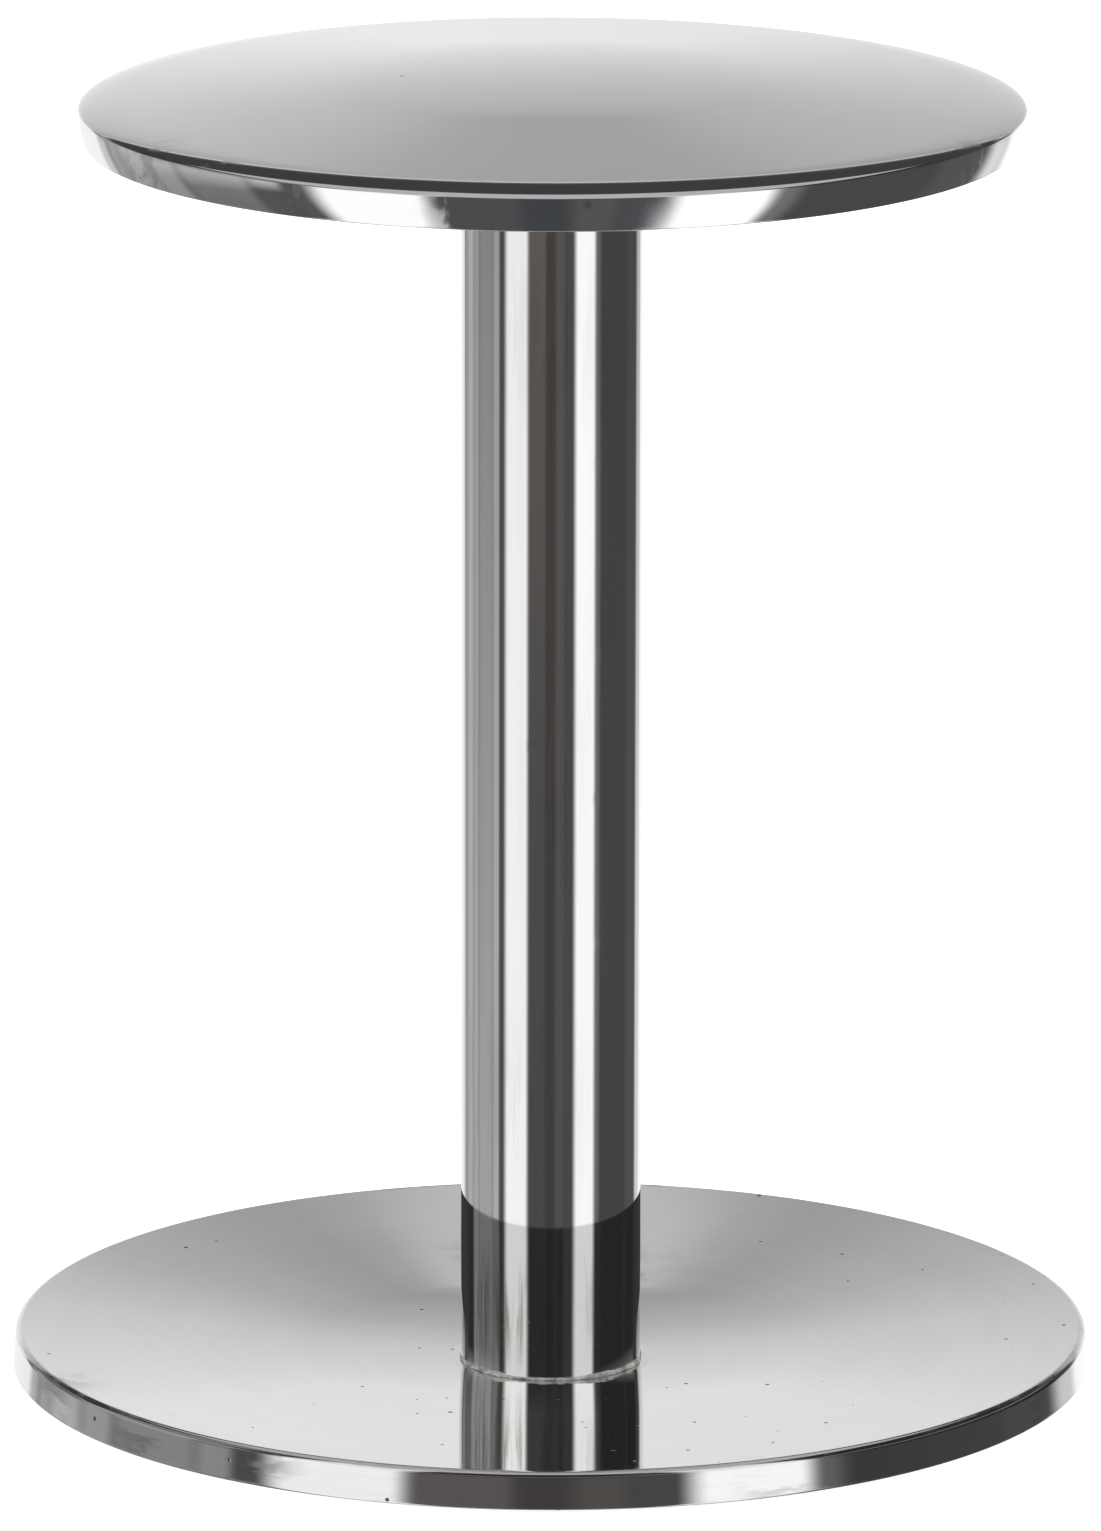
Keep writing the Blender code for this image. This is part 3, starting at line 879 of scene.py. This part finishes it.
def makePost():
    shape = postShape
    outer, inner, edge = shape["radius"], shape["radius"] - shape["wall"], shape["chamfer"]
    low, high = tubeLow.z - shape["seating"], tubeHigh.z + shape["seating"]
    runs = [
        straightRun((inner, high), (outer - edge, high)),
        straightRun((outer - edge, high), (outer, high - edge)),
        straightRun((outer, high - edge), (outer, low + edge), shape["bands"]),
        straightRun((outer, low + edge), (outer - edge, low)),
        straightRun((outer - edge, low), (inner, low)),
        straightRun((inner, low), (inner, high), 4),
    ]
    return lathe("postTube", runs, shape["segments"], closed=True)


# shallow nicks in the tube: angle from the front, height and reach in mm, depth in microns
postNicks = [
    (29, 88, 0.9, 3.0), (28, 71, 1.1, 4.0), (30, 58, 0.8, 3.0), (27, 45, 1.0, 3.5), (-12, 63, 0.9, 2.0),
]


def postDents(tree, spot):
    total = 0.0
    for angle, height, reach, depth in postNicks:
        dip = spotMask(tree, spot, angle, postShape["radius"], height * mm, reach * mm)
        total = maths(tree, "MULTIPLY_ADD", dip, -depth, total)
    return total


postFilm = (0.40, 0.37, 0.33, 1.0)
postLook = {
    "colour": (0.80, 0.80, 0.80),
    "roughness": 0.030,
    "grainStretch": (7000, 7000, 45),  # upright draw lines
    "grainContrast": 1.5,
    "grainTone": 0.07,
    "grainRough": 0.020,
    "grainMicrons": 0.03,
    "smudgeScale": 70.0,
    "smudgeCover": 0.44,
    "smudgeTone": 0.06,
    "smudgeRough": 0.03,
    "filmColour": (0.70, 0.68, 0.65, 1.0),
    "dustScale": 320.0,
    "dustSize": 0.035,
    "dustShare": 0.10,
    "wearRough": 0.0,
    "wearEdges": [],
    "markStretch": (4000, 4000, 160),
    "markRough": 0.16,
    "marks": [
        (-47, 8 * mm, 11 * mm, 8.0 * mm, 0.95, postFilm),
        (-40, 8 * mm, 30 * mm, 16.0 * mm, 0.25, rimGrey),
        (-12, 8 * mm, 100 * mm, 12.0 * mm, 0.18, rimBrown),
        (-14, 8 * mm, 10 * mm, 5.0 * mm, 0.5, postFilm),
        (10, 8 * mm, 12 * mm, 6.0 * mm, 0.55, postFilm),
        (52, 8 * mm, 60 * mm, 22.0 * mm, 0.15, rimGrey),
    ],
    "waveStretch": (150, 150, 70),
    "waveMicrons": 5.0,
    "extraMicrons": postDents,
}


# Foot pad: moulded rubber, with two grip grooves turned into its underside

padShape = {
    "radius": 29.0 * mm,
    "gap": 0.3 * mm,
    "edgeRound": 0.5 * mm,
    "grooveRadii": (17.0 * mm, 23.0 * mm),
    "grooveWidth": 1.4 * mm,
    "grooveDepth": 0.5 * mm,
    "segments": 192,
}
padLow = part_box("foot_pad")[0]


def makeFootPad():
    shape = padShape
    radius, edge, floorLevel = shape["radius"], shape["edgeRound"], padLow.z
    lower = baseCorners()[1]
    lean = math.tan(baseShape["angle"])
    seatRadius = lower[0] - (lower[1] - baseLow.z) / lean
    seatTop = baseLow.z - shape["gap"]
    shoulder = lower[1] - (lower[0] - radius) * lean - shape["gap"]
    topArc = roundRun((radius - edge, shoulder - edge), (edge, edge), quarterTurn, 0.0, 6)
    lowArc = roundRun((radius - edge, floorLevel + edge), (edge, edge), 0.0, -quarterTurn, 6)
    runs = [straightRun((0.0, seatTop), (seatRadius, seatTop))]
    runs.append(straightRun((seatRadius, seatTop), topArc[0][:2], 3))
    runs += [topArc, straightRun(topArc[-1][:2], lowArc[0][:2], 2), lowArc]
    start = lowArc[-1][:2]
    half, depth = shape["grooveWidth"] / 2, shape["grooveDepth"]
    for middle in sorted(shape["grooveRadii"], reverse=True):
        runs.append(straightRun(start, (middle + half, floorLevel), 2))
        runs.append(hollowRun((middle, floorLevel), (half, depth), 0.0, math.pi, 12))
        start = (middle - half, floorLevel)
    runs.append(straightRun(start, (0.0, floorLevel), 3))
    return lathe("footPad", runs, shape["segments"])


padLook = {
    "colour": (0.030, 0.030, 0.031),
    "hollows": (0.020, 0.020, 0.021, 1.0),
    "crests": (0.042, 0.042, 0.043, 1.0),
    "filmColour": (0.085, 0.083, 0.08, 1.0),
    "filmShare": 0.35,
    "filmRough": 0.18,
    "dustColour": (0.32, 0.31, 0.29, 1.0),
    "dustCover": 0.6,
    "roughness": 0.62,
    "leastRough": 0.48,
    "pebbleRough": 0.2,
    "pebbleScale": 2600.0,
    "pebbleMicrons": 28.0,
}


def padRubber():
    look = padLook
    material, tree, shader, spot = startMaterial("padRubber", 0.0, look["roughness"], look["colour"])
    pebble = noiseValue(tree, spot, look["pebbleScale"], 3.0, 0.6)
    film = placeGroup(tree, smudgeGroup, spot, Scale=80.0, Cover=0.55)
    dust = placeGroup(tree, dustGroup, spot, Scale=700.0, Size=0.09, Share=0.35)
    colour = blendColours(tree, pebble, look["hollows"], look["crests"])
    filmed = maths(tree, "MULTIPLY", film, look["filmShare"])
    colour = blendColours(tree, filmed, colour, look["filmColour"])
    dusted = maths(tree, "MULTIPLY", dust, look["dustCover"])
    colour = blendColours(tree, dusted, colour, look["dustColour"])
    rough = maths(tree, "MULTIPLY_ADD", pebble, look["pebbleRough"], look["leastRough"])
    rough = maths(tree, "MULTIPLY_ADD", film, look["filmRough"], rough)
    wireMaterial(tree, shader, colour, rough, maths(tree, "MULTIPLY", pebble, look["pebbleMicrons"]))
    return material


# Screw under the base and stud under the top plate, with rolled M5 threads

threadShape = {
    "pitch": 0.8 * mm,
    "depth": 0.43 * mm,
    "fade": 0.6 * mm,
    "flank": 2.4,
    "root": 0.1,  # share of the tooth's height left flat at the root
    "segments": 48,
    "stepsPerPitch": 8,
}
screwShape = {
    "radius": 2.5 * mm,
    "headRadius": 4.6 * mm,
    "headLand": 0.4 * mm,
    "tipChamfer": 0.5 * mm,
    "socketWidth": 3.0 * mm,
    "socketDepth": 1.5 * mm,
    "socketLead": 0.15 * mm,
    "socketMouth": 1.25,  # width of the lead-in over the width of the socket
    "drillPoint": 0.4 * mm,
    "plainLength": 0.6 * mm,
}
studShape = {
    "radius": 2.5 * mm,
    "flangeRadius": 4.8 * mm,
    "flangeHeight": 1.0 * mm,
    "flangeChamfer": 0.1 * mm,
    "tipChamfer": 0.5 * mm,
    "plainLength": 0.4 * mm,
}


def threadDip(turn, height, low, high):
    # how far the helix cuts into the shank here, fading out at both ends
    thread = threadShape
    phase = (height / thread["pitch"] - turn / (2 * math.pi)) % 1.0
    tooth = min(1.0, max(0.0, thread["flank"] * abs(phase - 0.5) - thread["root"]))
    lowEnd, highEnd = (height - low) / thread["fade"], (high - height) / thread["fade"]
    ends = min(1.0, max(0.0, lowEnd), max(0.0, highEnd))
    return thread["depth"] * (1 - tooth) * ends


def threadRings(top, bottom, radius):
    count = int(round((top - bottom) / threadShape["pitch"] * threadShape["stepsPerPitch"]))
    return [(radius, top + (bottom - top) * index / count) for index in range(count + 1)]


def makeBaseScrew():
    shape = screwShape
    low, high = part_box("base_screw")
    bottom, tip = low.z, high.z
    coneStart = bottom + shape["headLand"]
    coneEnd = coneStart + shape["headRadius"] - shape["radius"]
    threadLow, threadHigh = coneEnd + shape["plainLength"], tip - shape["tipChamfer"]
    outline = [(0.0, tip), (shape["radius"] - shape["tipChamfer"], tip)]
    outline += threadRings(threadHigh, threadLow, shape["radius"])
    threaded = len(outline)
    outline += [(shape["radius"], coneEnd), (shape["headRadius"], coneStart), (shape["headRadius"], bottom)]
    hexStart = len(outline)
    flat = shape["socketWidth"] / 2
    outline += [(flat * shape["socketMouth"], bottom), (flat, bottom + shape["socketLead"])]
    outline.append((flat, bottom + shape["socketDepth"]))
    outline.append((0.0, bottom + shape["socketDepth"] + shape["drillPoint"]))

    def place(number, turn, radius, height):
        if 1 < number < threaded:
            return radius - threadDip(turn, height, threadLow, threadHigh + shape["tipChamfer"]), height
        if number > hexStart:
            sector = (turn % (math.pi / 3)) - math.pi / 6
            return radius / math.cos(sector), height
        return radius, height

    return shapedTurn("baseScrew", outline, threadShape["segments"], place)


def makeTopStud():
    shape = studShape
    low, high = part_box("top_stud")
    shoulder = high.z - shape["flangeHeight"]
    tip = low.z
    threadTop, threadLow = shoulder - shape["plainLength"], tip + shape["tipChamfer"]
    corner = shape["flangeChamfer"]
    outline = [(0.0, high.z), (shape["flangeRadius"] - corner, high.z)]
    outline.append((shape["flangeRadius"], high.z - corner))
    outline += [(shape["flangeRadius"], shoulder), (shape["radius"], shoulder)]
    first = len(outline)
    outline += threadRings(threadTop, threadLow, shape["radius"])
    last = len(outline)
    outline += [(shape["radius"] - shape["tipChamfer"], tip), (0.0, tip)]

    def place(number, turn, radius, height):
        if first <= number < last:
            return radius - threadDip(turn, height, threadLow - shape["tipChamfer"], threadTop), height
        return radius, height

    return shapedTurn("topStud", outline, threadShape["segments"], place)


turnedLook = {
    "lineContrast": 2.2,
    "lineShade": 0.72,
    "lineRough": 0.2,
    "lineMicrons": 5.0,
    "filmColour": (0.36, 0.34, 0.31, 1.0),
    "filmShare": 0.3,
    "filmRough": 0.15,
}


def turnedSteel(name, colour, roughness, stretch):
    # bare machined steel: tool lines and a little oil film
    look = turnedLook
    material, tree, shader, spot = startMaterial(name, 1.0, roughness, colour)
    lines = placeGroup(tree, grainGroup, spot, Stretch=stretch, Contrast=look["lineContrast"])
    film = placeGroup(tree, smudgeGroup, spot, Scale=160.0, Cover=0.52)
    dark = tuple(channel * look["lineShade"] for channel in colour)
    tone = blendColours(tree, lines, (*dark, 1.0), (*colour, 1.0))
    filmed = maths(tree, "MULTIPLY", film, look["filmShare"])
    tone = blendColours(tree, filmed, tone, look["filmColour"])
    rough = maths(tree, "MULTIPLY_ADD", lines, look["lineRough"], roughness - look["lineRough"] / 2)
    rough = maths(tree, "MULTIPLY_ADD", film, look["filmRough"], rough)
    wireMaterial(tree, shader, tone, rough, maths(tree, "MULTIPLY", lines, look["lineMicrons"]))
    return material


# Sealant beads: thin squeezed-out adhesive, never quite even

beadShape = {
    "overlap": 0.08 * mm,
    "width": 0.42 * mm,
    "height": 0.44 * mm,
    "footGap": 0.02 * mm,
    "headGap": 0.28 * mm,
    "segments": 180,
    "steps": 8,
    # unevenness: waves round the bead, finer ones on them, and a shift from ring to ring
    "waves": 2.2,
    "fineWaves": 6,
    "ringShift": 0.35,
    # for the width and the height: least, most, middle, then how far each kind of wave moves it
    "swell": (0.18, 1.08, 0.62, 0.75, 0.22),
    "rise": (0.45, 1.0, 0.75, 0.60, 0.15),
}


def makeBead(name, near, direction, seed):
    # direction is 1 where the bead lies on a plate and -1 where it hangs under one
    shape = beadShape
    inner = postShape["radius"] - shape["overlap"]
    outline = [(inner, near)]
    for index in range(shape["steps"] + 1):
        angle = quarterTurn * index / shape["steps"]
        height = near + direction * shape["height"] * math.sin(angle)
        outline.append((inner + shape["width"] * math.cos(angle), height))
    if direction > 0:
        outline.reverse()

    def uneven(limits, broad, fine):
        least, most, middle, broadShare, fineShare = limits
        return max(least, min(most, middle + broadShare * broad + fineShare * fine))

    def place(number, turn, radius, height):
        spot = Vector((math.cos(turn) * shape["waves"], math.sin(turn) * shape["waves"], seed))
        broad = noise.noise(spot)
        fine = noise.noise(spot * shape["fineWaves"] + Vector((0, 0, number * shape["ringShift"])))
        swell, rise = uneven(shape["swell"], broad, fine), uneven(shape["rise"], broad, fine)
        return inner + (radius - inner) * swell, near + (height - near) * rise

    return shapedTurn(name, outline, shape["segments"], place, closed=True, crease=60)


sealantLook = {
    "colour": (0.60, 0.59, 0.56),
    "hollows": (0.16, 0.15, 0.14, 1.0),
    "crests": (0.62, 0.61, 0.58, 1.0),
    "grimeColour": (0.22, 0.19, 0.15, 1.0),
    "grimeShare": 0.5,
    "roughness": 0.35,
    "leastRough": 0.18,
    "cloudRough": 0.4,
    "cloudMicrons": 40.0,
}


def sealantMaterial():
    look = sealantLook
    material, tree, shader, spot = startMaterial("sealant", 0.0, look["roughness"], look["colour"])
    cloud = noiseValue(tree, spot, 900.0, 4.0, 0.65)
    grime = placeGroup(tree, smudgeGroup, spot, Scale=220.0, Cover=0.5)
    colour = blendColours(tree, smoothRange(tree, cloud, 0.3, 0.7), look["hollows"], look["crests"])
    grimed = maths(tree, "MULTIPLY", grime, look["grimeShare"])
    colour = blendColours(tree, grimed, colour, look["grimeColour"])
    rough = maths(tree, "MULTIPLY_ADD", cloud, look["cloudRough"], look["leastRough"])
    wireMaterial(tree, shader, colour, rough, maths(tree, "MULTIPLY", cloud, look["cloudMicrons"]))
    return material


# Camera and floor

cameraSetup = {
    "lens": 332.3,
    "sensor": 36.0,
    "distance": 25.31,  # in base radii, like the rise over the base's lower rim
    "rise": 7.249,
    "pitch": math.radians(90 - 13.585),
    "roll": 0.0016,
    "shift": -0.00063357,
    "clip": (0.05, 50),
}


def makeCamera():
    data = bpy.data.cameras.new("camera")
    camera = bpy.data.objects.new("camera", data)
    bpy.context.scene.collection.objects.link(camera)
    data.sensor_width = cameraSetup["sensor"]
    data.lens = cameraSetup["lens"]
    data.shift_x = cameraSetup["shift"]
    radius = baseShape["radius"]
    height = baseCorners()[1][1] + cameraSetup["rise"] * radius
    camera.location = (0, -cameraSetup["distance"] * radius, height)
    aim = Euler((cameraSetup["pitch"], 0, 0)).to_matrix() @ Matrix.Rotation(cameraSetup["roll"], 3, "Z")
    camera.rotation_euler = aim.to_euler()
    data.clip_start, data.clip_end = cameraSetup["clip"]
    bpy.context.scene.camera = camera


floorSetup = {"size": 3.0, "drop": 0.02 * mm, "colour": (0.95, 0.95, 0.95), "glow": 0.80}


def makeFloor():
    build = bmesh.new()
    bmesh.ops.create_grid(build, x_segments=8, y_segments=8, size=floorSetup["size"])
    mesh = bpy.data.meshes.new("floor")
    build.to_mesh(mesh)
    build.free()
    floor = linked("floor", mesh)
    floor.location.z = -floorSetup["drop"]
    material, _, shader, _ = startMaterial("paleFloor", 0.0, 1.0, floorSetup["colour"])
    shader.inputs["Specular IOR Level"].default_value = 0.0
    shader.inputs["Emission Color"].default_value = (1.0, 1.0, 1.0, 1.0)
    shader.inputs["Emission Strength"].default_value = floorSetup["glow"]
    material.cycles.emission_sampling = "NONE"
    mesh.materials.append(material)
    floor.visible_glossy = False
    print("floor laid")


makeCamera()
studioWorld()
makeSweep()
makeFloor()
finishPiece(makeBasePlate(), polishedSteel("baseSteel", baseLook), "base_plate")
finishPiece(makeTopPlate(), polishedSteel("topSteel", topLook), "top_plate")
finishPiece(makePost(), polishedSteel("tubeSteel", postLook), "post_tube")
finishPiece(makeFootPad(), padRubber(), "foot_pad")
shankSteel = turnedSteel("shankSteel", (0.50, 0.50, 0.50), 0.30, (600, 600, 9000))
finishPiece(makeBaseScrew(), shankSteel, "base_screw")
finishPiece(makeTopStud(), shankSteel, "top_stud")
sealant = sealantMaterial()
footBead = makeBead("footBead", baseLow.z + baseShape["sheet"] + beadShape["footGap"], 1, 3.7)
headBead = makeBead("headBead", tubeHigh.z + beadShape["headGap"], -1, 9.1)
finishPiece(footBead, sealant, "foot_seal_bead")
finishPiece(headBead, sealant, "head_seal_bead")

plugSteel = turnedSteel("plugSteel", (0.55, 0.55, 0.54), 0.35, (400, 400, 7000))
for plugName in ("lower_plug", "upper_plug"):
    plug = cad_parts[plugName]
    plug.data.materials.clear()
    plug.data.materials.append(plugSteel)

bpy.context.scene.view_settings.view_transform = "Standard"
bpy.context.view_layer.update()
